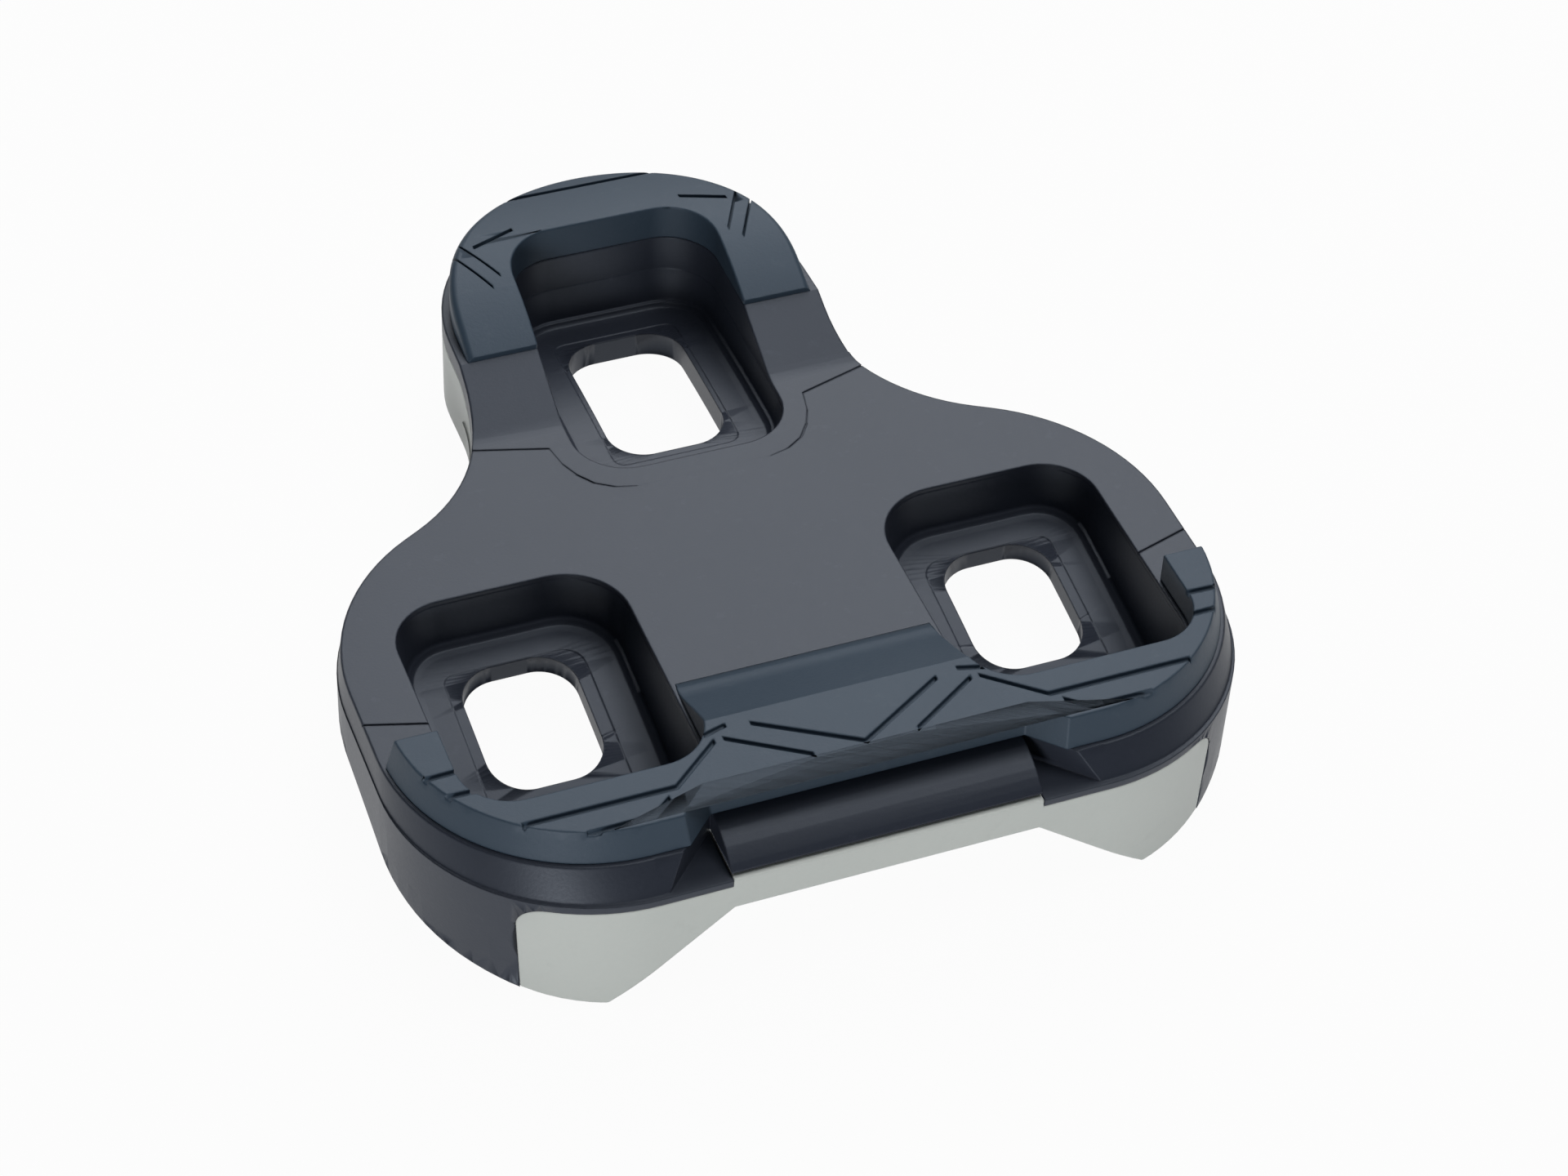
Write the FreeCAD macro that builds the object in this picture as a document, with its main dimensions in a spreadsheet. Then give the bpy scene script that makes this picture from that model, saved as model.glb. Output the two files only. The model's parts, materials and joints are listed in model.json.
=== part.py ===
import math
import os

import FreeCAD, Part
import Sketcher

os.makedirs("parts", exist_ok=True)

# The cleat is drawn as it meets the pedal: X across the shoe, +Y to the nose, +Z away from the sole.
# Z = 0 is the deck that the pedal bears on and Y = 0 is the front rim of the two rear recesses.
# At the end one shared placement tips the pieces, so that the assembly stands on its shoe side.
doc = FreeCAD.newDocument("cleat")
sheet = doc.addObject("Spreadsheet::Sheet", "dims")

# Driving dimensions in mm and degrees. Reaches toward the rear are given as positive distances.
cells = {
    # plan of the deck
    "half_width": 32.1,
    "rear_reach": 29.0,
    "rear_flat": 0.3,
    "notch_half": 11.7,
    "notch_reach": 25.9,
    "shoulder_radius": 16.2,
    "shoulder_back": 7.0,
    "shoulder_slope": 29.0,
    "brow_flat": 1.4,
    "flank_lean": 1.5,
    "nose_radius": 14.8,
    "nose_centre": 24.5,
    # deck slab and the skirt below it, which flares out at the rear half
    "deck_thick": 2.8,
    "notch_floor": 2.2,
    "skirt_rear": 1.45,
    "skirt_flare": 0.35,
    "skirt_draft": 3.0,
    "skirt_depth": 10.5,
    # cylinder of the shoe's sole
    "sole_radius": 145.0,
    "sole_centre": 14.4,
    "sole_drop": 4.9,
    # bolt recesses, the walls round them, their floors and the bolt slots
    "recess_inner": 10.3,
    "outer_wall": 4.5,
    "rear_wall": 6.3,
    "recess_corner_in": 5.0,
    "recess_corner_out": 4.2,
    "recess_corner_rear": 3.6,
    "nose_wall": 6.3,
    "nose_recess_rear": 9.35,
    "nose_front_wall": 7.3,
    "nose_recess_corner": 4.3,
    "floor_rear": 1.5,
    "floor_nose": 2.1,
    "cup_wall": 1.7,
    "slot_shift": 0.15,
    "slot_width": 8.8,
    "slot_front": 3.4,
    "slot_length": 11.1,
    "slot_corner": 3.0,
    "nose_slot_land": 3.95,
    "nose_slot_width": 9.5,
    "nose_slot_length": 14.7,
    # nose block, a ramp up to the flat seat of its grip pad
    "nose_root": 12.5,
    "ramp_start": 15.1,
    "ramp_end": 21.8,
    "ramp_fillet": 3.5,
    "seat_height": 2.8,
    # rear lip held by the pedal's jaw
    "lip_reach": 30.4,
    "lip_depth": 1.9,
    # shoe-side plate
    "plate_inset": 5.6,
    "plate_corner": 2.0,
    "plate_nose": 1.1,
    "channel_half": 11.5,
    "channel_roof": 5.0,
    "channel_slope": 38.0,
    "channel_depth": 8.0,
    "plug_width": 14.0,
    "plug_length": 7.5,
    "plug_roof": 3.5,
    "plug_rear": 1.0,
    "plug_corner": 1.0,
    # rear grip pad
    "pad_height": 2.5,
    "pad_ledge": 0.3,
    "pad_over": 0.8,
    "pad_taper": 16.0,
    "pad_front": 13.5,
    "pad_full": 20.0,
    "pad_fillet": 5.0,
    "pad_arm_front": 14.8,
    "pad_rim": 0.3,
    # tread grooves of the two pads
    "groove_width": 0.4,
    "groove_depth": 0.35,
    "vee_half": 7.05,
    "vee_length": 4.2,
    "vee_pitch": 2.9,
    "vee_margin": 1.0,
    "branch_half": 25.1,
    "branch_width": 11.1,
    "branch_margin": 3.7,
    "stub_width": 4.75,
    "arm_groove_rear": 19.1,
    "arm_groove_pitch": 2.05,
    "nose_groove_half": 6.8,
    "nose_groove_margin": 2.3,
    "nose_groove_side": 3.3,
    "nose_groove_length": 3.9,
    # nose grip pad
    "nose_pad_ledge": 0.65,
    "nose_pad_edge": 0.6,
    "crown_height": 5.85,
    "crown_radius": 20.0,
    "crown_front_radius": 38.0,
    "crown_ahead": 7.25,
    # room beyond the part for cutting tools
    "beyond": 50.0,
}
# sizes that follow from the ones above
corner_radius = "(dims.half_width - dims.notch_half - dims.rear_reach - dims.skirt_rear"
corner_radius += " - dims.skirt_flare + dims.notch_reach - dims.rear_flat)"
recess_outer = "(dims.half_width - dims.outer_wall)"
recess_rear = "(dims.rear_reach - dims.rear_wall)"
nose_recess_half = "(dims.nose_radius - dims.nose_wall)"
nose_recess_front = "(dims.nose_centre + dims.nose_radius - dims.nose_front_wall)"
slot_middle = f"((dims.recess_inner + {recess_outer}) / 2 + dims.slot_shift)"
nose_slot_rear = "(dims.nose_recess_rear + dims.nose_slot_land)"
plate_split = "(dims.half_width - dims.plate_inset)"
crown_centre = "(dims.nose_centre + dims.crown_ahead)"
bottom = "(-dims.deck_thick - dims.skirt_depth)"
skirt_fall = "(dims.deck_thick + dims.skirt_depth - dims.notch_floor)"
foot_flare = f"(dims.skirt_flare + {skirt_fall} * tan(dims.skirt_draft))"
for row, (name, number) in enumerate(cells.items(), 1):
    sheet.set(f"A{row}", name)
    sheet.set(f"B{row}", str(number))
    sheet.setAlias(f"B{row}", name)
doc.recompute()


def value(expression):
    return float(sheet.evalExpression(expression))


def point(x, y):
    return FreeCAD.Vector(x, y, 0)


def plane(body, role):
    return next(f for f in body.Origin.OriginFeatures if f.Role == role)


def new_body(label):
    return doc.addObject("PartDesign::Body", label)


def new_sketch(body, role, label, level="0"):
    sketch = body.newObject("Sketcher::SketchObject", label)
    sketch.AttachmentSupport = [(plane(body, role), "")]
    sketch.MapMode = "FlatFace"
    sketch.setExpression("AttachmentOffset.Base.z", level)
    return sketch


def line(sketch, start, end):
    return sketch.addGeometry(Part.LineSegment(point(*start), point(*end)), False)


def arc(sketch, centre, radius, first, last):
    circle = Part.Circle(point(*centre), FreeCAD.Vector(0, 0, 1), radius)
    return sketch.addGeometry(Part.ArcOfCircle(circle, math.radians(first), math.radians(last)), False)


def fix(sketch, kind, *refs):
    return sketch.addConstraint(Sketcher.Constraint(kind, *refs))


# A dimension whose value comes from the sheet.
def drive(sketch, kind, refs, expression):
    start = value(expression)
    if kind == "Angle":
        start = math.radians(start)
    index = fix(sketch, kind, *refs, start)
    sketch.setExpression(f"Constraints[{index}]", expression)


# Coordinates of a vertex, given as (geometry, vertex number).
def place(sketch, vertex, x="", y=""):
    if x:
        drive(sketch, "DistanceX", (-1, 1, *vertex), x)
    if y:
        drive(sketch, "DistanceY", (-1, 1, *vertex), y)


def polygon(sketch, corners):
    spots = [(value(x), value(y)) for x, y in corners]
    edges = [line(sketch, spots[k], spots[(k + 1) % len(spots)]) for k in range(len(spots))]
    for k, (x, y) in enumerate(corners):
        fix(sketch, "Coincident", edges[k - 1], 2, edges[k], 1)
        place(sketch, (edges[k], 1), x, y)
    return edges


# Rounded rectangle. The radii run counter-clockwise from the lower right corner.
def window(sketch, left, right, low, high, radii):
    x0, x1, y0, y1 = (value(e) for e in (left, right, low, high))
    a, b, c, d = (value(e) for e in radii)
    edges = [
        line(sketch, (x0 + d, y0), (x1 - a, y0)),
        line(sketch, (x1, y0 + a), (x1, y1 - b)),
        line(sketch, (x1 - b, y1), (x0 + c, y1)),
        line(sketch, (x0, y1 - c), (x0, y0 + d)),
    ]
    corners = [
        arc(sketch, (x1 - a, y0 + a), a, -90, 0),
        arc(sketch, (x1 - b, y1 - b), b, 0, 90),
        arc(sketch, (x0 + c, y1 - c), c, 90, 180),
        arc(sketch, (x0 + d, y0 + d), d, 180, 270),
    ]
    for k in range(4):
        fix(sketch, "Tangent", edges[k], 2, corners[k], 1)
        fix(sketch, "Tangent", corners[k], 2, edges[(k + 1) % 4], 1)
        fix(sketch, "Horizontal" if k % 2 == 0 else "Vertical", edges[k])
        drive(sketch, "Radius", (corners[k],), radii[k])
    place(sketch, (edges[3], 1), x=left)
    place(sketch, (edges[1], 1), x=right)
    place(sketch, (edges[0], 1), y=low)
    place(sketch, (edges[2], 1), y=high)


# Plan outline of the cleat. "grow" moves the whole edge out, "flare" moves only the rear half out
# and "rear" moves the rear edge further. "over" moves the edge of the notch.
# Each half runs from the middle of the rear edge round the shoulder to the nose.
def outline(body, label, grow="0", rear="0", flare="0", notched=True, level="0", over="0"):
    sketch = new_sketch(body, "XY_Plane", label, level)
    back = f"{rear} + {grow} + {flare}"
    half = value(f"dims.half_width + {grow} + {flare}")
    reach = value(f"dims.rear_reach + {back}")
    corner = value(f"{corner_radius} + {grow} + {flare}")
    shoulder = value(f"dims.shoulder_radius + {grow} + {flare}")
    nose = value(f"dims.nose_radius + {grow}")
    notch = value(f"dims.notch_reach + {grow} + {over}")
    notch_half = value(f"dims.notch_half - ({grow}) * tan(22.5)")
    shoulder_back = value("dims.shoulder_back")
    lean = value("dims.flank_lean")
    turn = 90 - value("dims.shoulder_slope")
    centre = value("dims.nose_centre")
    brow_out = FreeCAD.Vector(math.cos(math.radians(turn)), math.sin(math.radians(turn)), 0)
    cheek_out = FreeCAD.Vector(math.cos(math.radians(lean)), math.sin(math.radians(lean)), 0)
    knee = point(half - shoulder, -shoulder_back) + brow_out * shoulder
    cheek = point(0, centre) + cheek_out * nose
    # the neck arc touches the brow and cheek lines where the straight brow ends
    brow_gap = brow_out.dot(knee)
    cheek_gap = cheek_out.dot(cheek)
    spread = brow_out.x * cheek_out.y - brow_out.y * cheek_out.x
    cross_x = (brow_gap * cheek_out.y - cheek_gap * brow_out.y) / spread
    cross_y = (cheek_gap * brow_out.x - brow_gap * cheek_out.x) / spread
    reach_in = point(cross_x, cross_y).distanceToPoint(knee) - value("dims.brow_flat")
    neck = reach_in / math.tan(math.radians(turn - lean) / 2)
    foot = knee + point(-brow_out.y, brow_out.x) * value("dims.brow_flat")
    pivot = foot + brow_out * neck
    head = pivot - cheek_out * neck
    mid_half = notch_half if notched else half - corner
    mid_reach = notch if notched else reach
    middle = line(sketch, (-mid_half, -mid_reach), (mid_half, -mid_reach))
    tip = arc(sketch, (0, centre), nose, lean, 180 - lean)
    if notched:
        fix(sketch, "Symmetric", middle, 1, middle, 2, -2)
        place(sketch, (middle, 2), x=f"dims.notch_half - ({grow}) * tan(22.5)")
        place(sketch, (middle, 2), y=f"-dims.notch_reach - ({grow}) - ({over})")
    else:
        fix(sketch, "Horizontal", middle)
        place(sketch, (middle, 2), y=f"-dims.rear_reach - ({back})")
    for side in (1, -1):
        # an arc starts at its clockwise end, so the two halves meet it from different ends
        near = 1 if side > 0 else 2
        far = 3 - near
        spans = []
        for x, y, radius, first, last in (
            (half - corner, corner - reach, corner, -90, 0),
            (half - shoulder, -shoulder_back, shoulder, 0, turn),
            (pivot.x, pivot.y, neck, 180 + lean, 180 + turn),
        ):
            if side < 0:
                first, last = 180 - last, 180 - first
            spans.append(arc(sketch, (side * x, y), radius, first, last))
        corner_arc, shoulder_arc, neck_arc = spans
        flank = line(sketch, (side * half, corner - reach), (side * half, -shoulder_back))
        brow = line(sketch, (side * knee.x, knee.y), (side * foot.x, foot.y))
        cheek_line = line(sketch, (side * head.x, head.y), (side * cheek.x, cheek.y))
        if notched:
            block = notch_half + reach - notch
            slant = line(sketch, (side * notch_half, -notch), (side * block, -reach))
            rear_line = line(sketch, (side * block, -reach), (side * (half - corner), -reach))
            fix(sketch, "Coincident", middle, far, slant, 1)
            fix(sketch, "Coincident", slant, 2, rear_line, 1)
            fix(sketch, "Angle", slant, math.radians(-45 if side > 0 else -135))
            place(sketch, (rear_line, 1), y=f"-dims.rear_reach - ({back})")
            fix(sketch, "Horizontal", rear_line)
            fix(sketch, "Tangent", rear_line, 2, corner_arc, near)
        else:
            fix(sketch, "Tangent", middle, far, corner_arc, near)
        fix(sketch, "Tangent", corner_arc, far, flank, 1)
        fix(sketch, "Vertical", flank)
        fix(sketch, "Tangent", flank, 2, shoulder_arc, near)
        fix(sketch, "Tangent", shoulder_arc, far, brow, 1)
        fix(sketch, "Tangent", brow, 2, neck_arc, far)
        fix(sketch, "Tangent", neck_arc, near, cheek_line, 1)
        fix(sketch, "Tangent", cheek_line, 2, tip, near)
        place(sketch, (flank, 1), x=f"{side} * (dims.half_width + {grow} + {flare})")
        place(sketch, (shoulder_arc, 3), y="-dims.shoulder_back")
        slope = "180 - dims.shoulder_slope" if side > 0 else "dims.shoulder_slope"
        drive(sketch, "Angle", (brow,), slope)
        drive(sketch, "Angle", (cheek_line,), f"90 + {side} * dims.flank_lean")
        drive(sketch, "Radius", (corner_arc,), f"{corner_radius} + {grow} + {flare}")
        drive(sketch, "Radius", (shoulder_arc,), f"dims.shoulder_radius + {grow} + {flare}")
        drive(sketch, "Distance", (brow,), "dims.brow_flat")
    fix(sketch, "PointOnObject", tip, 3, -2)
    place(sketch, (tip, 3), y="dims.nose_centre")
    drive(sketch, "Radius", (tip,), f"dims.nose_radius + {grow}")
    return sketch


def pad(body, sketch, label, length, both=False, down=False, taper="0"):
    feature = body.newObject("PartDesign::Pad", label)
    feature.Profile = sketch
    feature.SideType = "Symmetric" if both else "One side"
    feature.Reversed = down
    feature.setExpression("Length", length)
    feature.setExpression("TaperAngle", taper)
    sketch.Visibility = False
    return feature


def pocket(body, sketch, label, length="", both=False, up=False):
    feature = body.newObject("PartDesign::Pocket", label)
    feature.Profile = sketch
    feature.SideType = "Symmetric" if both else "One side"
    feature.Reversed = up
    if length:
        feature.setExpression("Length", length)
    else:
        feature.Type = "ThroughAll"
    sketch.Visibility = False
    return feature


# Outline and a frame round it: a pocket of this sketch trims a body to the plan of the cleat.
def trim_sketch(body, label, grow="0", level="0"):
    sketch = outline(body, label, grow, notched=False, level=level)
    far = "dims.beyond"
    polygon(sketch, [(f"-{far}", f"-{far}"), (far, f"-{far}"), (far, far), (f"-{far}", far)])
    return sketch


# Narrow groove along a path that runs mostly across the part.
def groove(sketch, path):
    front = [(x, f"{y} + dims.groove_width / 2") for x, y in path]
    back = [(x, f"{y} - dims.groove_width / 2") for x, y in reversed(path)]
    polygon(sketch, front + back)


# Rims of the three bolt recesses, moved out by "grow".
def recess_sketch(body, label, grow="0"):
    sketch = new_sketch(body, "XY_Plane", label)
    inner = f"dims.recess_inner - ({grow})"
    outer = f"{recess_outer} + {grow}"
    rear = f"-{recess_rear} - ({grow})"
    corner_in = f"dims.recess_corner_in + {grow}"
    corner_out = f"dims.recess_corner_out + {grow}"
    corner_rear = f"dims.recess_corner_rear + {grow}"
    window(sketch, inner, outer, rear, grow, [corner_rear, corner_out, corner_in, corner_rear])
    window(sketch, f"-({outer})", f"-({inner})", rear, grow, [corner_rear, corner_in, corner_out, corner_rear])
    nose_half = f"{nose_recess_half} + {grow}"
    nose_rear = f"dims.nose_recess_rear - ({grow})"
    nose_front = f"{nose_recess_front} + {grow}"
    nose_corner = f"dims.nose_recess_corner + {grow}"
    window(sketch, f"-({nose_half})", nose_half, nose_rear, nose_front, [nose_corner] * 4)
    return sketch


# Cylinder of the sole, as a circle on the middle plane.
def sole_sketch(body, label, thick="0"):
    sketch = new_sketch(body, "YZ_Plane", label)
    centre = (value("dims.sole_centre"), value("-dims.sole_drop - dims.sole_radius"))
    radius = f"dims.sole_radius + {thick}"
    circle = Part.Circle(point(*centre), FreeCAD.Vector(0, 0, 1), value(radius))
    round_edge = sketch.addGeometry(circle, False)
    place(sketch, (round_edge, 3), "dims.sole_centre", "-dims.sole_drop - dims.sole_radius")
    drive(sketch, "Radius", (round_edge,), radius)
    return sketch


# Side profile of a recess floor: its top follows the sole at the floor's thickness.
def floor_sketch(body, label, rear, front, thick):
    sketch = new_sketch(body, "YZ_Plane", label)
    radius = value(f"dims.sole_radius + {thick}")
    centre = (value("dims.sole_centre"), value("-dims.sole_drop - dims.sole_radius"))
    spots = [value(rear), value(front)]
    angles = [math.degrees(math.acos((y - centre[0]) / radius)) for y in spots]
    tops = [centre[1] + radius * math.sin(math.radians(a)) for a in angles]
    low = value(bottom)
    top = arc(sketch, centre, radius, angles[1], angles[0])
    walls = [line(sketch, (y, t), (y, low)) for y, t in zip(spots, tops)]
    base = line(sketch, (spots[0], low), (spots[1], low))
    fix(sketch, "Coincident", top, 2, walls[0], 1)
    fix(sketch, "Coincident", top, 1, walls[1], 1)
    fix(sketch, "Coincident", walls[0], 2, base, 1)
    fix(sketch, "Coincident", walls[1], 2, base, 2)
    fix(sketch, "Vertical", walls[0])
    fix(sketch, "Vertical", walls[1])
    fix(sketch, "Horizontal", base)
    place(sketch, (top, 3), "dims.sole_centre", "-dims.sole_drop - dims.sole_radius")
    place(sketch, (base, 1), rear, bottom)
    place(sketch, (base, 2), x=front)
    drive(sketch, "Radius", (top,), f"dims.sole_radius + {thick}")
    return sketch


# One-piece moulded body before the shoe-side plate is taken out of it.
whole = new_body("moulding")
# nose block: the side profile runs across the part and is then trimmed to the plan
riser = new_sketch(whole, "YZ_Plane", "riser_profile")
root, toe, crest = value("dims.nose_root"), value("dims.ramp_start"), value("dims.ramp_end")
seat, bend, far = value("dims.seat_height"), value("dims.ramp_fillet"), value("dims.beyond")
deck_low_z = value("-dims.deck_thick")
rise = math.degrees(math.atan2(seat, crest - toe))
level_edge = line(riser, (root, 0), (toe, 0))
sweep = arc(riser, (toe, bend), bend, 270, 270 + rise)
sweep_end = (toe + bend * math.sin(math.radians(rise)), bend * (1 - math.cos(math.radians(rise))))
ramp = line(riser, sweep_end, (crest, seat))
seat_edge = line(riser, (crest, seat), (far, seat))
front_edge = line(riser, (far, seat), (far, deck_low_z))
under_edge = line(riser, (far, deck_low_z), (root, deck_low_z))
root_edge = line(riser, (root, deck_low_z), (root, 0))
fix(riser, "Tangent", level_edge, 2, sweep, 1)
fix(riser, "Tangent", sweep, 2, ramp, 1)
fix(riser, "Coincident", ramp, 2, seat_edge, 1)
fix(riser, "Coincident", seat_edge, 2, front_edge, 1)
fix(riser, "Coincident", front_edge, 2, under_edge, 1)
fix(riser, "Coincident", under_edge, 2, root_edge, 1)
fix(riser, "Coincident", root_edge, 2, level_edge, 1)
for edge in (level_edge, seat_edge, under_edge):
    fix(riser, "Horizontal", edge)
fix(riser, "Vertical", front_edge)
fix(riser, "Vertical", root_edge)
fix(riser, "PointOnObject", level_edge, 1, -1)
place(riser, (level_edge, 1), x="dims.nose_root")
place(riser, (level_edge, 2), x="dims.ramp_start")
place(riser, (ramp, 2), "dims.ramp_end", "dims.seat_height")
place(riser, (under_edge, 1), "dims.beyond", "-dims.deck_thick")
drive(riser, "Radius", (sweep,), "dims.ramp_fillet")
pad(whole, riser, "nose_block", "2 * dims.beyond", both=True)
pocket(whole, trim_sketch(whole, "riser_trim"), "nose_trim", both=True)

# deck and skirt, whose walls flare out toward the rear
skirt = {"rear": "dims.skirt_rear", "notched": False}
deck_top = outline(whole, "deck_top")
deck_low = outline(whole, "deck_low", rear="dims.skirt_rear", flare="dims.skirt_flare", level="-dims.deck_thick")
skirt_top = outline(whole, "skirt_top", flare="dims.skirt_flare", level="-dims.notch_floor", **skirt)
skirt_foot = outline(whole, "skirt_foot", flare=foot_flare, level=bottom, **skirt)
for label, first, last in (("deck", deck_top, deck_low), ("skirt", skirt_top, skirt_foot)):
    walls = whole.newObject("PartDesign::AdditiveLoft", label)
    walls.Profile = first
    walls.Sections = [last]
    walls.Ruled = True

# rear lip: a rounded bar between the two corner blocks
lip = new_sketch(whole, "YZ_Plane", "lip_profile")
lip_root = value("dims.notch_reach")
lip_tip, lip_low = value("-dims.lip_reach"), value("-dims.lip_depth")
drop = -lip_low
lip_radius = ((lip_root + lip_tip) ** 2 + drop**2) / (2 * drop)
lip_start = -lip_root
end_angle = 180 - math.degrees(math.atan2(lip_radius - drop, lip_start - lip_tip))
bar = arc(lip, (lip_start, -lip_radius), lip_radius, 90, end_angle)
bar_under = line(lip, (lip_tip, lip_low), (lip_start + 2, lip_low))
bar_root = line(lip, (lip_start + 2, lip_low), (lip_start + 2, 0))
bar_top = line(lip, (lip_start + 2, 0), (lip_start, 0))
fix(lip, "Coincident", bar, 2, bar_under, 1)
fix(lip, "Coincident", bar_under, 2, bar_root, 1)
fix(lip, "Coincident", bar_root, 2, bar_top, 1)
fix(lip, "Tangent", bar_top, 2, bar, 1)
fix(lip, "Horizontal", bar_under)
fix(lip, "Vertical", bar_root)
fix(lip, "Horizontal", bar_top)
place(lip, (bar_under, 1), "-dims.lip_reach", "-dims.lip_depth")
place(lip, (bar_top, 1), x="2 - dims.notch_reach")
fix(lip, "PointOnObject", bar_top, 1, -1)
place(lip, (bar_top, 2), x="-dims.notch_reach")
pad(whole, lip, "rear_lip", "2 * dims.notch_half", both=True)

# recesses go right through, then each floor is put back, slotted and cut to the sole
pocket(whole, recess_sketch(whole, "recess_rims"), "recesses", both=True)
rear_floor = floor_sketch(whole, "rear_floor_profile", f"-{recess_rear} - 0.5", "0.5", "dims.floor_rear")
pad(whole, rear_floor, "rear_floors", f"2 * {recess_outer} + 1", both=True)
nose_ends = ["dims.nose_recess_rear - 0.5", f"{nose_recess_front} + 0.5"]
nose_floor = floor_sketch(whole, "nose_floor_profile", *nose_ends, "dims.floor_nose")
pad(whole, nose_floor, "nose_floor", f"2 * {nose_recess_half} + 1", both=True)
slots = new_sketch(whole, "XY_Plane", "slot_rims")
slot_inner = f"({slot_middle} - dims.slot_width / 2)"
slot_outer = f"({slot_middle} + dims.slot_width / 2)"
slot_rear = "-dims.slot_front - dims.slot_length"
round_slot = ["dims.slot_corner"] * 4
window(slots, slot_inner, slot_outer, slot_rear, "-dims.slot_front", round_slot)
window(slots, f"-{slot_outer}", f"-{slot_inner}", slot_rear, "-dims.slot_front", round_slot)
nose_slot_half = "dims.nose_slot_width / 2"
nose_slot_front = f"{nose_slot_rear} + dims.nose_slot_length"
window(slots, f"-{nose_slot_half}", nose_slot_half, nose_slot_rear, nose_slot_front, round_slot)
pocket(whole, slots, "bolt_slots", both=True)
pocket(whole, sole_sketch(whole, "sole_line"), "sole_face", both=True)

# envelope of the shoe-side plate
blank = new_body("plate_blank")
side_view = new_sketch(blank, "YZ_Plane", "plate_profile")
polygon(side_view, [
    ("-dims.beyond", bottom),
    ("dims.beyond", bottom),
    ("dims.beyond", "dims.plate_nose"),
    ("dims.ramp_end", "dims.plate_nose"),
    ("dims.ramp_start", "-dims.deck_thick"),
    ("-dims.notch_reach + 2", "-dims.deck_thick"),
    ("-dims.notch_reach + 2", "-dims.lip_depth"),
    ("-dims.beyond", "-dims.lip_depth"),
])
pad(blank, side_view, "plate_slab", "2 * dims.beyond", both=True)
# the plate stops short of the flanks, and only the middle reaches up under the lip
split = new_sketch(blank, "XZ_Plane", "plate_split", "-dims.nose_root")
for side in (1, -1):
    wall = f"{side} * {plate_split}"
    edge = f"{side} * dims.notch_half"
    shelf = f"{side} * ({plate_split} - dims.plate_corner)"
    x_wall, x_edge, x_shelf, x_far = value(wall), value(edge), value(shelf), side * value("dims.beyond")
    z_low, z_shelf, z_high = value(bottom) - 1, value("-dims.deck_thick"), value("-dims.lip_depth") + 0.05
    z_bend = z_shelf - value("dims.plate_corner")
    first, last = (0, 90) if side > 0 else (90, 180)
    up_wall = line(split, (x_wall, z_low), (x_wall, z_bend))
    bow = arc(split, (x_shelf, z_bend), value("dims.plate_corner"), first, last)
    shelf_line = line(split, (x_shelf, z_shelf), (x_edge, z_shelf))
    up_edge = line(split, (x_edge, z_shelf), (x_edge, z_high))
    roof = line(split, (x_edge, z_high), (x_far, z_high))
    out_wall = line(split, (x_far, z_high), (x_far, z_low))
    floor_line = line(split, (x_far, z_low), (x_wall, z_low))
    near, far_end = (1, 2) if side > 0 else (2, 1)
    fix(split, "Tangent", up_wall, 2, bow, near)
    fix(split, "Tangent", bow, far_end, shelf_line, 1)
    chain = [shelf_line, up_edge, roof, out_wall, floor_line, up_wall]
    for before, after in zip(chain, chain[1:]):
        fix(split, "Coincident", before, 2, after, 1)
    for piece in (shelf_line, roof, floor_line):
        fix(split, "Horizontal", piece)
    for piece in (up_wall, up_edge, out_wall):
        fix(split, "Vertical", piece)
    place(split, (up_wall, 1), wall, f"{bottom} - 1")
    place(split, (shelf_line, 1), shelf, "-dims.deck_thick")
    place(split, (roof, 1), edge, "-dims.lip_depth + 0.05")
    place(split, (out_wall, 1), x=f"{side} * dims.beyond")
# this cut starts behind the nose block and runs off the rear
pocket(blank, split, "plate_sides", "dims.nose_root + dims.beyond", up=True)
pocket(blank, recess_sketch(blank, "cup_plan", "dims.cup_wall"), "cups", both=True)

# what the plate has cut out of it: the channel between the rear lugs and the pocket in its middle
hollow = new_body("plate_hollows")
rear_face = f"dims.rear_reach + dims.skirt_rear + {foot_flare}"
channel = new_sketch(hollow, "XZ_Plane", "channel_profile", f"{rear_face} - dims.channel_depth")
spread = "(dims.skirt_depth + dims.deck_thick - dims.channel_roof) / tan(dims.channel_slope)"
channel_foot = f"dims.channel_half + {spread}"
polygon(channel, [
    ("-dims.channel_half", "-dims.channel_roof"),
    (f"-({channel_foot})", bottom),
    (channel_foot, bottom),
    ("dims.channel_half", "-dims.channel_roof"),
])
pad(hollow, channel, "channel", "dims.channel_depth + 5")
pocket_tool = new_body("plug_hollow")
plug = new_sketch(pocket_tool, "XY_Plane", "plug_rim", "-dims.plug_roof")
plug_half = "dims.plug_width / 2"
plug_front = "dims.plug_rear + dims.plug_length"
window(plug, f"-{plug_half}", plug_half, "dims.plug_rear", plug_front, ["dims.plug_corner"] * 4)
pad(pocket_tool, plug, "plug", "dims.skirt_depth", down=True)

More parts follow.
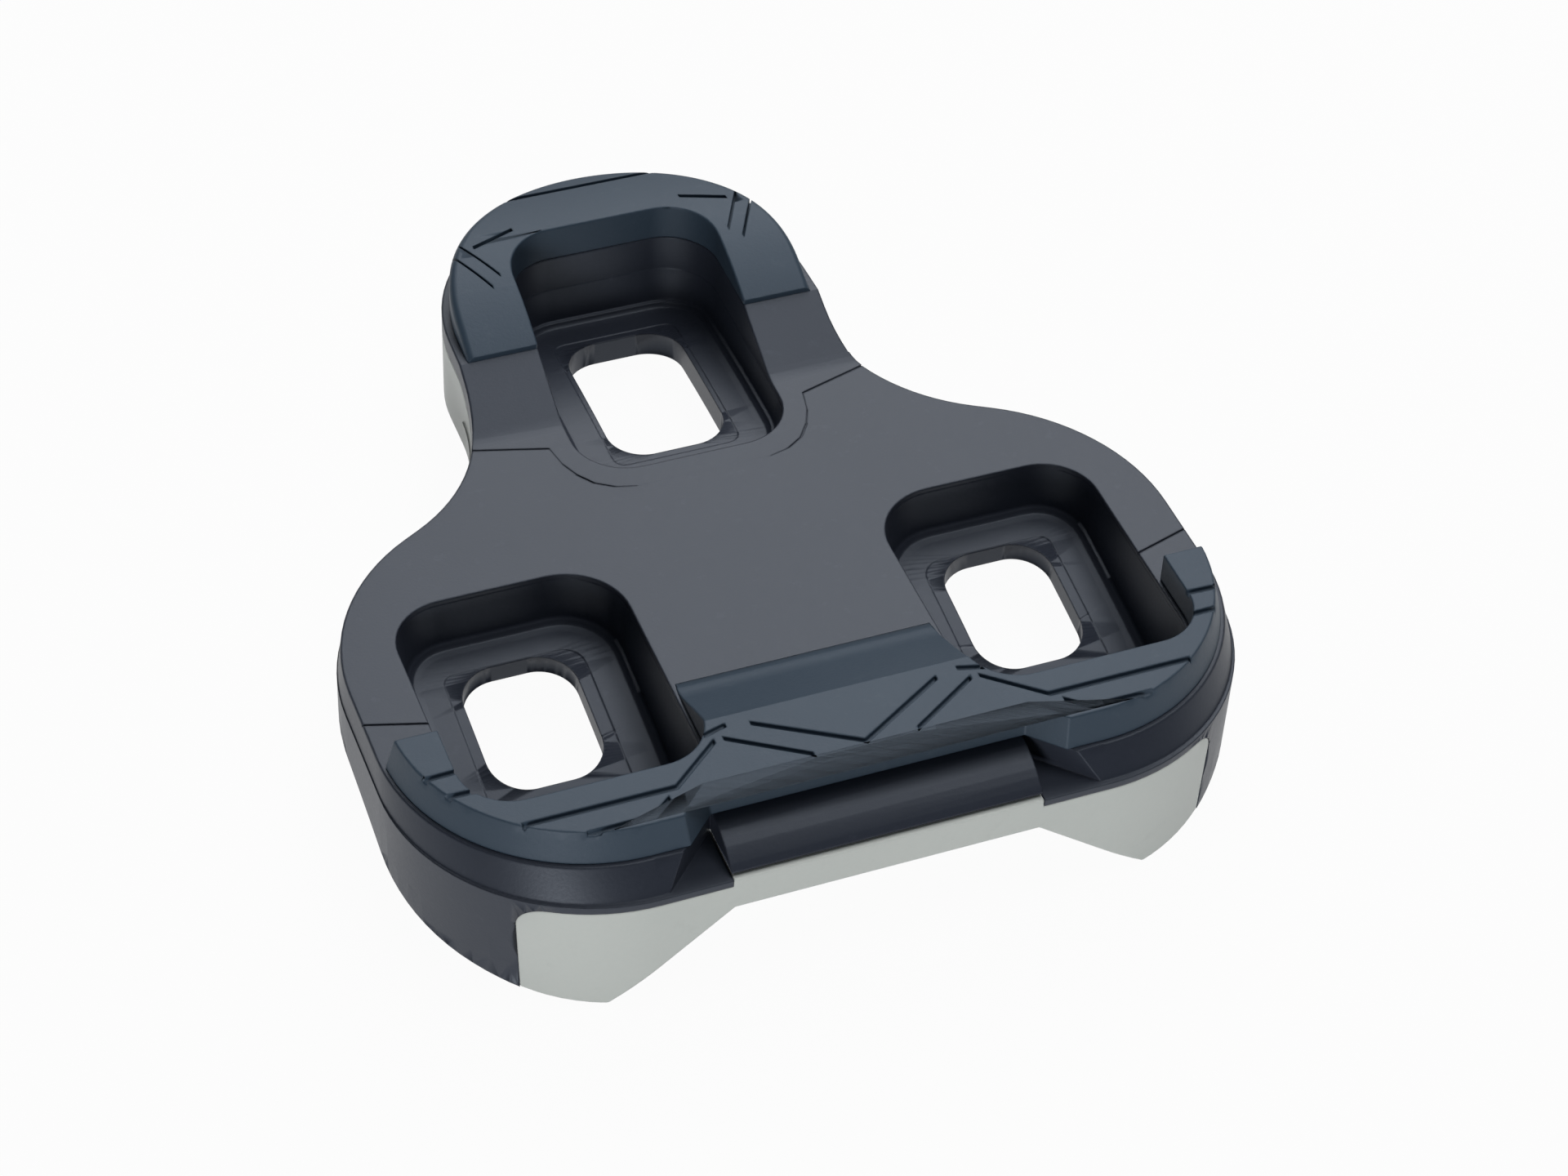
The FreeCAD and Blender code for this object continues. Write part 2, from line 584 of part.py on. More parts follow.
# rear grip pad
rear_pad = new_body("rear_grip_pad")
pad_plan = outline(rear_pad, "pad_plan", grow="-dims.pad_ledge", over="dims.pad_over")
pad(rear_pad, pad_plan, "pad_block", "dims.pad_height", taper="-dims.pad_taper")
clear = new_sketch(rear_pad, "XY_Plane", "pad_front_line")
inside = "dims.recess_inner + 3"
polygon(clear, [
    ("-dims.beyond", "-dims.pad_arm_front"),
    (f"-({inside})", "-dims.pad_arm_front"),
    (f"-({inside})", "-dims.pad_front"),
    (inside, "-dims.pad_front"),
    (inside, "-dims.pad_arm_front"),
    ("dims.beyond", "-dims.pad_arm_front"),
    ("dims.beyond", "dims.beyond"),
    ("-dims.beyond", "dims.beyond"),
])
pocket(rear_pad, clear, "pad_front_cut", up=True)
# the middle of the pad rises from the deck in a ramp with a soft foot
slope = new_sketch(rear_pad, "YZ_Plane", "pad_ramp")
foot_y, top_y = value("-dims.pad_front"), value("-dims.pad_full")
high, bend = value("dims.pad_height"), value("dims.pad_fillet")
rise = math.degrees(math.atan2(high, foot_y - top_y))
soft = arc(slope, (foot_y, bend), bend, 270 - rise, 270)
climb_start = (foot_y - bend * math.sin(math.radians(rise)), bend * (1 - math.cos(math.radians(rise))))
climb = line(slope, climb_start, (top_y, high))
up_edge = line(slope, (top_y, high), (top_y, 2 * high))
over = line(slope, (top_y, 2 * high), (foot_y + 1, 2 * high))
down_edge = line(slope, (foot_y + 1, 2 * high), (foot_y + 1, 0))
sole_edge = line(slope, (foot_y + 1, 0), (foot_y, 0))
fix(slope, "Tangent", soft, 1, climb, 1)
fix(slope, "Coincident", climb, 2, up_edge, 1)
fix(slope, "Coincident", up_edge, 2, over, 1)
fix(slope, "Coincident", over, 2, down_edge, 1)
fix(slope, "Coincident", down_edge, 2, sole_edge, 1)
fix(slope, "Tangent", sole_edge, 2, soft, 2)
for edge in (over, sole_edge):
    fix(slope, "Horizontal", edge)
for edge in (up_edge, down_edge):
    fix(slope, "Vertical", edge)
fix(slope, "PointOnObject", sole_edge, 1, -1)
place(slope, (sole_edge, 2), x="-dims.pad_front")
place(slope, (sole_edge, 1), x="1 - dims.pad_front")
place(slope, (climb, 2), "-dims.pad_full", "dims.pad_height")
place(slope, (over, 1), y="2 * dims.pad_height")
drive(slope, "Radius", (soft,), "dims.pad_fillet")
pocket(rear_pad, slope, "pad_slope", f"2 * ({inside})", both=True)
pocket(rear_pad, recess_sketch(rear_pad, "pad_rims", "dims.pad_rim"), "pad_windows", both=True)
# tread: two nested vees at the middle, then branches and stubs beside the notch, mirrored
tread = new_sketch(rear_pad, "XY_Plane", "pad_tread", "dims.pad_height - dims.groove_depth")
vee_tip = "-dims.notch_reach - dims.pad_over + dims.pad_ledge + dims.vee_margin"
vee_top = f"{vee_tip} + dims.vee_length"
branch_rear = "-dims.rear_reach + dims.branch_margin"
branch_end = "(dims.branch_half - dims.branch_width)"
stub_rear = f"{branch_rear} - 2.1"
groove(tread, [("-dims.vee_half", vee_top), ("0", vee_tip), ("dims.vee_half", vee_top)])
for side in ("1", "-1"):
    vee_side = [("dims.vee_half - dims.vee_pitch - 0.2", vee_tip), ("dims.vee_half + 2.3", f"{vee_top} - 0.8")]
    branch = [("dims.vee_half + dims.vee_pitch + 0.1", f"{vee_top} - 0.8"), (branch_end, branch_rear)]
    branch.append(("dims.branch_half", branch_rear))
    stub = [(f"{branch_end} + 0.8", f"{branch_rear} - 0.8"), (f"{branch_end} + 2.4", stub_rear)]
    stub.append((f"{branch_end} + 2.4 + dims.stub_width", stub_rear))
    for path in (vee_side, branch, stub):
        groove(tread, [(f"{side} * ({x})", y) for x, y in path])
pocket(rear_pad, tread, "pad_grooves", up=True)

# nose grip pad, crowned along its length
nose_pad = new_body("nose_grip_pad")
crown = new_sketch(nose_pad, "YZ_Plane", "crown_profile")
crown_y, crown_z = value(crown_centre), value("dims.crown_height")
ends = [crest, value("dims.nose_centre + dims.nose_radius")]
arcs = []
tops = []
for radius, end in (("dims.crown_radius", ends[0]), ("dims.crown_front_radius", ends[1])):
    bow = value(radius)
    turned = math.degrees(math.acos((end - crown_y) / bow))
    tops.append(crown_z - bow + bow * math.sin(math.radians(turned)))
    arcs.append(arc(crown, (crown_y, crown_z - bow), bow, min(turned, 90), max(turned, 90)))
    drive(crown, "Radius", (arcs[-1],), radius)
back_arc, front_arc = arcs
heel = line(crown, (ends[0], tops[0]), (ends[0], seat))
base = line(crown, (ends[0], seat), (ends[1], seat))
front = line(crown, (ends[1], seat), (ends[1], tops[1]))
fix(crown, "Tangent", front_arc, 2, back_arc, 1)
fix(crown, "Coincident", back_arc, 2, heel, 1)
fix(crown, "Coincident", heel, 2, base, 1)
fix(crown, "Coincident", base, 2, front, 1)
fix(crown, "Coincident", front, 2, front_arc, 1)
fix(crown, "Vertical", heel)
fix(crown, "Vertical", front)
fix(crown, "Horizontal", base)
place(crown, (back_arc, 3), crown_centre, "dims.crown_height - dims.crown_radius")
place(crown, (front_arc, 3), x=crown_centre)
place(crown, (base, 1), "dims.ramp_end", "dims.seat_height")
place(crown, (base, 2), x="dims.nose_centre + dims.nose_radius")
pad(nose_pad, crown, "crown", "2 * dims.beyond", both=True)
pocket(nose_pad, trim_sketch(nose_pad, "nose_pad_plan", grow="-dims.nose_pad_ledge"), "nose_pad_trim", both=True)
pocket(nose_pad, recess_sketch(nose_pad, "nose_pad_rim"), "nose_pad_window", both=True)
doc.recompute()

upper = doc.addObject("Part::Cut", "upper_body")
upper.Base = whole
upper.Tool = blank
plate_whole = doc.addObject("Part::Common", "plate_whole")
plate_whole.Base = whole
plate_whole.Tool = blank
plate_cut = doc.addObject("Part::Cut", "plate_channelled")
plate_cut.Base = plate_whole
plate_cut.Tool = hollow
plate = doc.addObject("Part::Cut", "shoe_plate")
plate.Base = plate_cut
plate.Tool = pocket_tool
doc.recompute()

# The crown's edge along the nose is rounded over; the edge at the recess stays crisp.
crown_faces = [f for f in nose_pad.Shape.Faces if "Cylinder" in str(f.Surface) and abs(f.Surface.Axis.x) > 0.99]
rim = value("dims.nose_radius - dims.nose_pad_ledge") - 0.3
outer_edges = []
for index, edge in enumerate(nose_pad.Shape.Edges, 1):
    middle = edge.valueAt((edge.FirstParameter + edge.LastParameter) / 2)
    on_crown = any(edge.isSame(other) for face in crown_faces for other in face.Edges)
    beside = abs(middle.x) > rim or math.hypot(middle.x, middle.y - value("dims.nose_centre")) > rim
    if on_crown and beside and edge.Length > 0.01:
        outer_edges.append(f"Edge{index}")
trimmed = nose_pad.Tip
round_over = nose_pad.newObject("PartDesign::Fillet", "crown_edge")
round_over.Base = (trimmed, outer_edges)
round_over.setExpression("Radius", "dims.nose_pad_edge")
doc.recompute()

# The sole's arc puts the rear lugs lower than the nose, so the cleat leans forward when it stands.
sole_z = value("-dims.sole_drop - dims.sole_radius")
sole_y, sole_r = value("dims.sole_centre"), value("dims.sole_radius")
on_sole = [v.Y for v in whole.Shape.Vertexes if abs(math.hypot(v.Y - sole_y, v.Z - sole_z) - sole_r) < 1e-4]
rear_y = min(on_sole)
nose_y = value("dims.nose_centre + dims.nose_radius")
heights = [sole_z + math.sqrt(sole_r**2 - (y - sole_y) ** 2) for y in (rear_y, nose_y)]
lean = math.degrees(math.atan2(heights[1] - heights[0], nose_y - rear_y))
turn = FreeCAD.Rotation(FreeCAD.Vector(1, 0, 0), -lean)
pieces = [upper, plate, rear_pad, nose_pad]
stood = Part.makeCompound([piece.Shape for piece in pieces])
stood.Placement = FreeCAD.Placement(FreeCAD.Vector(), turn)
box = stood.optimalBoundingBox(False)
rest = FreeCAD.Placement(FreeCAD.Vector(-box.Center.x, -box.Center.y, -box.ZMin), turn)
for piece in pieces:
    piece.Placement = rest
doc.recompute()

for item in doc.Objects:
    if "Invalid" in item.State or "Error" in item.State:
        raise RuntimeError(f"{item.Label} did not rebuild")
for piece in pieces:
    if piece.Shape.isNull() or not piece.Shape.isValid():
        raise RuntimeError(f"{piece.Label} has no sound shape")
    piece.Shape.exportStep(f"parts/{piece.Label}.step")
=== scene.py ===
import json
import math

import bmesh
import bpy
from mathutils import Matrix, Vector

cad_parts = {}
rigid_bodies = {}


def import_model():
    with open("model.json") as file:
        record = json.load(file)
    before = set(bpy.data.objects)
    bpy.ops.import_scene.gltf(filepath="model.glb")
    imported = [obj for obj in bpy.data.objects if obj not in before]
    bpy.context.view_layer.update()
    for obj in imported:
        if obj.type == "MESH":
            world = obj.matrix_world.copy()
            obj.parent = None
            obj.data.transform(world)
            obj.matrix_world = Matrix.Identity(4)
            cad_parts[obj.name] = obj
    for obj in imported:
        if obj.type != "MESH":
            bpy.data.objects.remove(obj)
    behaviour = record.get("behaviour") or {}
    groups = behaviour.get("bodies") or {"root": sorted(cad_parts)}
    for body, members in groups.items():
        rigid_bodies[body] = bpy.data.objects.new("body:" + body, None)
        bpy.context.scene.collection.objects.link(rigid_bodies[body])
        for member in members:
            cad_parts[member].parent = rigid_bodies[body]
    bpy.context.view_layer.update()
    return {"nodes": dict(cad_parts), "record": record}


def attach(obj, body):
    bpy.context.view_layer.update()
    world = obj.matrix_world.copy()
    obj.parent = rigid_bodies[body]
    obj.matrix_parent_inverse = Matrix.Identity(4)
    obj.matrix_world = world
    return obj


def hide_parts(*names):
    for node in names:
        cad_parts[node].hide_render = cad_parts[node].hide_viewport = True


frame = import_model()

scene = bpy.context.scene
bpy.ops.object.select_all(action="DESELECT")

# the deck's own axes, in mm: X across, Y to the nose, Z away from the shoe, Y = 0 at the recesses' front rims
deckMount = next(m for m in frame["record"]["mounts"] if m["name"] == "pedal_deck")
lean = math.atan2(deckMount["axis"][1], deckMount["axis"][2])
deckTurn = Matrix.Rotation(-lean, 3, "X")
deckOrigin = Vector(deckMount["pos_m"]) - deckTurn @ Vector((0, -0.005, 0))
mm = 0.001


def onDeck(x, y, z):
    return deckOrigin + deckTurn @ (Vector((x, y, z)) * mm)


def deckPlace(spot):
    return deckTurn.transposed() @ (spot - deckOrigin)


def lowest(spots):
    return min(deckPlace(spot).z for spot in spots)


# one socket of a material, with arithmetic that adds Math nodes
class Tap:
    def __init__(self, tree, socket):
        self.tree = tree
        self.socket = socket

    def join(self, operation, first, second):
        node = self.tree.nodes.new("ShaderNodeMath")
        node.operation = operation
        for slot, end in zip(node.inputs, (first, second)):
            if isinstance(end, Tap):
                self.tree.links.new(end.socket, slot)
            else:
                slot.default_value = end
        return Tap(self.tree, node.outputs[0])

    def __add__(self, other):
        return self.join("ADD", self, other)

    def __radd__(self, other):
        return self.join("ADD", other, self)

    def __sub__(self, other):
        return self.join("SUBTRACT", self, other)

    def __rsub__(self, other):
        return self.join("SUBTRACT", other, self)

    def __mul__(self, other):
        return self.join("MULTIPLY", self, other)

    def __rmul__(self, other):
        return self.join("MULTIPLY", other, self)


class Finish:
    def __init__(self, owner):
        owner.use_nodes = True
        self.owner = owner
        self.tree = owner.node_tree
        self.tree.nodes.clear()

    # any node: its type, its settings, then its sockets' values or links, and the output that is wanted
    def node(self, kind, settings=None, ends=None, output=0):
        node = self.tree.nodes.new(kind)
        for key, setting in (settings or {}).items():
            if key == "stops":
                ramp = node.color_ramp
                for element, (position, shade) in zip(ramp.elements, setting):
                    element.position = position
                    element.color = (shade, shade, shade, 1)
            else:
                setattr(node, key, setting)
        for key, end in (ends or {}).items():
            if isinstance(end, Tap):
                self.tree.links.new(end.socket, node.inputs[key])
            else:
                node.inputs[key].default_value = end
        return Tap(self.tree, node.outputs[output]) if node.outputs else None

    def noise(self, place, scale, detail=2, roughness=0.5):
        ends = {"Vector": place, "Scale": scale, "Detail": detail, "Roughness": roughness}
        return self.node("ShaderNodeTexNoise", None, ends)

    def ramp(self, factor, low, high):
        return self.node("ShaderNodeValToRGB", {"stops": ((low, 0.0), (high, 1.0))}, {0: factor})

    def mix(self, factor, first, second):
        return self.node("ShaderNodeMix", {"data_type": "RGBA"}, {0: factor, 6: first, 7: second}, 2)


def linear(*shade):
    return tuple((c / 255 / 12.92) if c < 10.3 else ((c / 255 + 0.055) / 1.055) ** 2.4 for c in shade) + (1,)


# moulded surface: slow clouds of tone, a fine spark-eroded grain and a few pale rub marks
def mouldedFinish(name, tone):
    material = bpy.data.materials.new(name)
    finish = Finish(material)
    place = finish.node("ShaderNodeTexCoord", None, None, "Object")
    cloud = finish.noise(place, tone["cloudScale"], 3)
    grain = finish.noise(place, tone["grainScale"], 3, 0.6)
    rub = finish.ramp(finish.noise(place, tone["rubScale"], 5, 0.7), 0.6, 0.74)
    blend = cloud * 0.6 + grain * 0.4
    shade = finish.mix(blend, linear(*tone["dark"]), linear(*tone["light"]))
    shade = finish.mix(rub * tone["rubShare"], shade, linear(*tone["rubbed"]))
    height = grain * 0.75 + cloud * 0.25
    rounded = finish.node("ShaderNodeBevel", {"samples": 6}, {"Radius": tone["edgeRadius"]})
    ends = {"Strength": tone["grainStrength"], "Distance": tone["grainDepth"]}
    ends.update({"Height": height, "Normal": rounded})
    relief = finish.node("ShaderNodeBump", None, ends, "Normal")
    gloss = tone["roughness"] - 0.06 + grain * 0.12
    ends = {"Base Color": shade, "Roughness": gloss, "Normal": relief, "IOR": tone["ior"],
            "Specular Tint": tone["sheen"] + (1,)}
    shader = finish.node("ShaderNodeBsdfPrincipled", None, ends)
    finish.node("ShaderNodeOutputMaterial", None, {"Surface": shader})
    return material


bodyTone = {
    "dark": (44, 49, 60), "light": (52, 57, 69), "rubbed": (74, 79, 90), "rubShare": 0.25,
    "roughness": 0.42, "ior": 1.5, "cloudScale": 110, "grainScale": 4200, "rubScale": 700,
    "grainStrength": 0.5, "grainDepth": 0.00002, "edgeRadius": 0.00018, "sheen": (0.8, 0.88, 1.0),
}
rubberTone = {
    "dark": (50, 65, 80), "light": (60, 76, 91), "rubbed": (82, 96, 108), "rubShare": 0.25,
    "roughness": 0.5, "ior": 1.5, "cloudScale": 130, "grainScale": 3600, "rubScale": 600,
    "grainStrength": 0.6, "grainDepth": 0.00003, "edgeRadius": 0.00015, "sheen": (0.8, 0.88, 1.0),
}
plateTone = {
    "dark": (224, 231, 227), "light": (236, 241, 237), "rubbed": (206, 212, 208), "rubShare": 0.2,
    "roughness": 0.45, "ior": 1.46, "cloudScale": 90, "grainScale": 3000, "rubScale": 500,
    "grainStrength": 0.35, "grainDepth": 0.00002, "edgeRadius": 0.0002, "sheen": (1.0, 1.0, 1.0),
}
finishes = {
    "body": mouldedFinish("mouldedBodyPlastic", bodyTone),
    "plate": mouldedFinish("paleShoePlate", plateTone),
    "rubber": mouldedFinish("gripRubber", rubberTone),
}
print("finishes: done")


def activate(piece):
    bpy.ops.object.select_all(action="DESELECT")
    piece.select_set(True)
    bpy.context.view_layer.objects.active = piece


def applyModifier(piece, kind, **settings):
    activate(piece)
    modifier = piece.modifiers.new(kind.lower(), kind)
    for key, setting in settings.items():
        setattr(modifier, key, setting)
    bpy.ops.object.modifier_apply(modifier=modifier.name)


# a copy of a CAD node with its corners merged
def mergedCopy(nodeName, pieceName):
    source = frame["nodes"][nodeName]
    piece = source.copy()
    piece.data = source.data.copy()
    piece.name = pieceName
    scene.collection.objects.link(piece)
    activate(piece)
    bpy.ops.object.mode_set(mode="EDIT")
    bpy.ops.mesh.select_all(action="SELECT")
    bpy.ops.mesh.remove_doubles(threshold=0.000002)
    bpy.ops.object.mode_set(mode="OBJECT")
    return piece


# moves a piece that was made in the deck's axes to its place, and leaves its object at the origin
def settle(piece):
    activate(piece)
    piece.matrix_world = Matrix.Translation(deckOrigin) @ deckTurn.to_4x4() @ piece.matrix_world
    bpy.ops.object.transform_apply(location=True, rotation=True, scale=True)


# draws the foot of a piece in a little, at the flanks and at the rear
def drawIn(piece, draft):
    for vertex in piece.data.vertices:
        spot = deckPlace(vertex.co) / mm
        drop = max(0.0, draft["top"] - spot.z) / draft["height"]
        side = min(1.0, max(0.0, (abs(spot.x) - draft["sideFrom"]) / draft["fade"]))
        rear = min(1.0, max(0.0, (-spot.y - draft["rearFrom"]) / draft["fade"]))
        spot.x -= math.copysign(drop * side * draft["reach"], spot.x)
        spot.y += drop * rear * draft["reach"]
        vertex.co = onDeck(*spot)


# height of a recess floor, which follows the shoe's sole
def floorHeight(y, thick):
    return sole["centreZ"] + math.sqrt((sole["radius"] + thick) ** 2 - (y - sole["centreY"]) ** 2)


# liner of a recess: a ring that starts at the wall, leans in, ends in a thin ledge and rounds into the floor
def recessLiner(recess, side):
    left, right = sorted(side * x for x in recess["x"])
    rear, front = recess["y"]
    wall, far = liner["inWall"], 99
    corners = zip(((1, 1), (-1, 1), (1, -1), (-1, -1)), recess["corners"])     # outer and front first
    middle = Vector(((left + right) / 2, (rear + front) / 2, 0))
    bpy.ops.mesh.primitive_plane_add(size=1, location=middle * mm)
    piece = bpy.context.object
    piece.scale = ((right - left + 2 * wall) * mm, (front - rear + 2 * wall) * mm, 1)
    bpy.ops.object.transform_apply(location=True, scale=True)
    bpy.ops.object.mode_set(mode="EDIT")
    for (outward, forward), radius in corners:
        bpy.ops.mesh.select_all(action="DESELECT")
        bm = bmesh.from_edit_mesh(piece.data)
        beyond = Vector((outward * (1 if middle.x >= 0 else -1), forward, 0)) * far
        spot = (middle + beyond) * mm
        nearest = min(bm.verts, key=lambda v: (v.co - spot).length)
        nearest.select_set(True)
        bmesh.update_edit_mesh(piece.data)
        bpy.ops.mesh.bevel(offset=(radius + wall) * mm, segments=7, affect="VERTICES")
    for cut in range(1, liner["strips"]):
        bpy.ops.mesh.select_all(action="SELECT")
        line = rear + (front - rear) * cut / liner["strips"]
        bpy.ops.mesh.bisect(plane_co=(0, line * mm, 0), plane_no=(0, 1, 0))
    bpy.ops.mesh.select_all(action="SELECT")
    setRing(piece, recess["thick"], liner["root"])
    bpy.ops.mesh.extrude_region_move(TRANSFORM_OT_translate={"value": (0, 0, mm)})
    setRing(piece, None, liner["top"])
    reach = -wall
    for inset, rise in liner["profile"]:
        bpy.ops.mesh.inset(thickness=(inset - reach) * mm, depth=0, use_even_offset=True)
        reach = inset
        if inset > 0:
            setRing(piece, recess["thick"], rise)
    bm = bmesh.from_edit_mesh(piece.data)
    bm.normal_update()
    for face in bm.faces:
        if face.normal.z < -0.5:
            face.select_set(True)
    bmesh.update_edit_mesh(piece.data)
    bpy.ops.mesh.delete(type="FACE")
    bpy.ops.mesh.select_non_manifold()
    bpy.ops.mesh.bridge_edge_loops()
    bpy.ops.mesh.select_all(action="SELECT")
    bpy.ops.mesh.normals_make_consistent(inside=False)
    bpy.ops.object.mode_set(mode="OBJECT")
    settle(piece)
    return piece


# sets the height of the chosen corners, over the recess floor where a thickness is given
def setRing(piece, thick, rise):
    bm = bmesh.from_edit_mesh(piece.data)
    for vertex in bm.verts:
        if vertex.select:
            vertex.co.z = (rise + (floorHeight(vertex.co.y / mm, thick) if thick else 0)) * mm
    bmesh.update_edit_mesh(piece.data)


cutterHeight = 2


# cutter for a narrow groove: a short strip whose leading edge is pulled along the path, then thickened upward
def grooveCutter(path, width, across="y"):
    points = [Vector(p) * mm for p in path]
    axis = 0 if across == "y" else 1
    forward = points[1][axis] > points[0][axis]
    bpy.ops.mesh.primitive_plane_add(size=width * mm, location=points[0])
    piece = bpy.context.object
    bpy.ops.object.transform_apply(location=True)
    bpy.ops.object.mode_set(mode="EDIT")
    bpy.ops.mesh.select_all(action="DESELECT")
    bm = bmesh.from_edit_mesh(piece.data)
    leading = [v for v in bm.verts if (v.co[axis] > points[0][axis]) == forward]
    for vertex in bm.verts:
        vertex.co[axis] = points[0][axis] + (1e-6 if (vertex in leading) == forward else -1e-6)
    for edge in bm.edges:
        if all(v in leading for v in edge.verts):
            edge.select_set(True)
    bmesh.update_edit_mesh(piece.data)
    for start, end in zip(points, points[1:]):
        bpy.ops.mesh.extrude_region_move(TRANSFORM_OT_translate={"value": end - start})
    bpy.ops.mesh.select_all(action="SELECT")
    bpy.ops.mesh.extrude_region_move(TRANSFORM_OT_translate={"value": (0, 0, cutterHeight * mm)})
    bpy.ops.mesh.select_all(action="SELECT")
    bpy.ops.mesh.normals_make_consistent(inside=False)
    bpy.ops.object.mode_set(mode="OBJECT")
    settle(piece)
    return piece


# cuts grooves along the paths and along their mirror images
def carve(piece, paths, width, across="y"):
    for path in paths:
        for side in (1, -1):
            cutter = grooveCutter([(side * x, y, z) for x, y, z in path], width, across)
            applyModifier(piece, "BOOLEAN", operation="DIFFERENCE", solver="EXACT", object=cutter)
            bpy.data.objects.remove(cutter)


# angles in degrees, heights in mm over the deck
shading = {
    "merge": 0.3, "sharp": 28, "smooth": 18, "weight": 80, "wall": 0.5,
    "floorBelow": -1.5, "floorFacing": 0.95,
}


# merges the flat faces, and rounds the outward edges above a level
def softenRims(piece, above, width):
    activate(piece)
    bpy.ops.object.mode_set(mode="EDIT")
    bpy.ops.mesh.select_all(action="DESELECT")
    bm = bmesh.from_edit_mesh(piece.data)
    for face in bm.faces:
        if lowest(v.co for v in face.verts) > above * mm:
            face.select_set(True)
    bmesh.update_edit_mesh(piece.data)
    bpy.ops.mesh.dissolve_limited(angle_limit=math.radians(shading["merge"]))
    bpy.ops.mesh.select_all(action="DESELECT")
    bm = bmesh.from_edit_mesh(piece.data)
    for edge in bm.edges:
        outward = len(edge.link_faces) == 2 and edge.calc_face_angle_signed() > math.radians(shading["sharp"])
        levels = [[deckPlace(v.co).z for v in face.verts] for face in edge.link_faces]
        tall = max(max(level) - min(level) for level in levels) > shading["wall"] * mm
        if outward and tall and lowest(v.co for v in edge.verts) > above * mm:
            edge.select_set(True)
    bmesh.update_edit_mesh(piece.data)
    bpy.ops.mesh.bevel(offset=width * mm, segments=2, affect="EDGES", clamp_overlap=False)
    bpy.ops.object.mode_set(mode="OBJECT")


# leaves the recess floors unsmoothed, so that their walls don't tint them
def flattenFloors(piece):
    activate(piece)
    bpy.ops.object.mode_set(mode="EDIT")
    bpy.ops.mesh.select_all(action="DESELECT")
    bm = bmesh.from_edit_mesh(piece.data)
    for face in bm.faces:
        low = deckPlace(face.calc_center_median()).z < shading["floorBelow"] * mm
        if low and (deckTurn.transposed() @ face.normal).z > shading["floorFacing"]:
            face.select_set(True)
    bmesh.update_edit_mesh(piece.data)
    bpy.ops.mesh.faces_shade_flat()
    bpy.ops.object.mode_set(mode="OBJECT")


# rounds the edges where soft is set, shades the piece, dresses it and puts it in the place of its nodes
def finishPiece(piece, material, soft, *nodeNames):
    activate(piece)
    if soft:
        bpy.ops.object.mode_set(mode="EDIT")
        bpy.ops.mesh.select_all(action="SELECT")
        bpy.ops.mesh.dissolve_limited(angle_limit=math.radians(shading["merge"]))
        bpy.ops.object.mode_set(mode="OBJECT")
        limit = {"limit_method": "ANGLE", "angle_limit": math.radians(shading["sharp"])}
        applyModifier(piece, "BEVEL", width=soft * mm, segments=2, use_clamp_overlap=False, **limit)
    activate(piece)
    bpy.ops.object.shade_smooth_by_angle(angle=math.radians(shading["smooth"]))
    flattenFloors(piece)
    applyModifier(piece, "WEIGHTED_NORMAL", weight=shading["weight"], keep_sharp=True)
    piece.data.materials.clear()
    piece.data.materials.append(material)
    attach(piece, "root")
    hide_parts(*nodeNames)


# upper body: seams across the arms and round the nose recess
bodySeams = {
    "width": 0.16, "level": -0.05, "round": 0.12,
    "arm": [(32.6, -10.2, -0.16), (27.4, -11.75, -0.16)],
    "neckSide": [(16.6, 15.2, -0.1), (10.4, 13.4, -0.1), (10.0, 11.4, -0.1), (9.3, 9.8, -0.1)],
    "neckRear": [(9.35, 9.9, -0.1), (8.4, 8.6, -0.1), (7.0, 7.7, -0.1), (5.4, 7.3, -0.1), (-0.1, 7.2, -0.1)],
}
# the sole's arch, then the recess walls: how far in, and how high over the floor, each step lies
sole = {"centreZ": -149.9, "centreY": 14.4, "radius": 145}
liner = {
    "inWall": 0.3, "top": -0.4, "root": -0.4, "strips": 10,
    "profile": [
        (0.0, 0.0), (0.5, 0.6), (0.78, 0.52), (0.84, 0.32), (1.1, 0.12), (1.6, 0.06), (3.3, 0.04), (3.36, -0.1),
    ],
}
recesses = [        # corners: outer front, inner front, outer rear, inner rear
    {"x": (10.3, 27.6), "y": (-22.7, 0.0), "corners": (4.2, 5.0, 3.6, 3.6), "thick": 1.5, "sides": (1, -1)},
    {"x": (-8.5, 8.5), "y": (9.35, 32.0), "corners": (4.3, 4.3, 4.3, 4.3), "thick": 2.1, "sides": (1,)},
]
foot = {"top": -2.2, "height": 11.1, "reach": 0.5, "sideFrom": 20, "rearFrom": 18, "fade": 9}
upperBody = mergedCopy("upper_body", "upperBody")
carve(upperBody, [bodySeams["arm"], bodySeams["neckSide"]], bodySeams["width"])
carve(upperBody, [bodySeams["neckRear"]], bodySeams["width"], "x")
softenRims(upperBody, bodySeams["level"], bodySeams["round"])
drawIn(upperBody, foot)
linings = [recessLiner(recess, side) for recess in recesses for side in recess["sides"]]
activate(upperBody)
for lining in linings:
    lining.select_set(True)
bpy.ops.object.join()
finishPiece(upperBody, finishes["body"], 0, "upper_body")
print("upper body: done", len(upperBody.data.polygons))

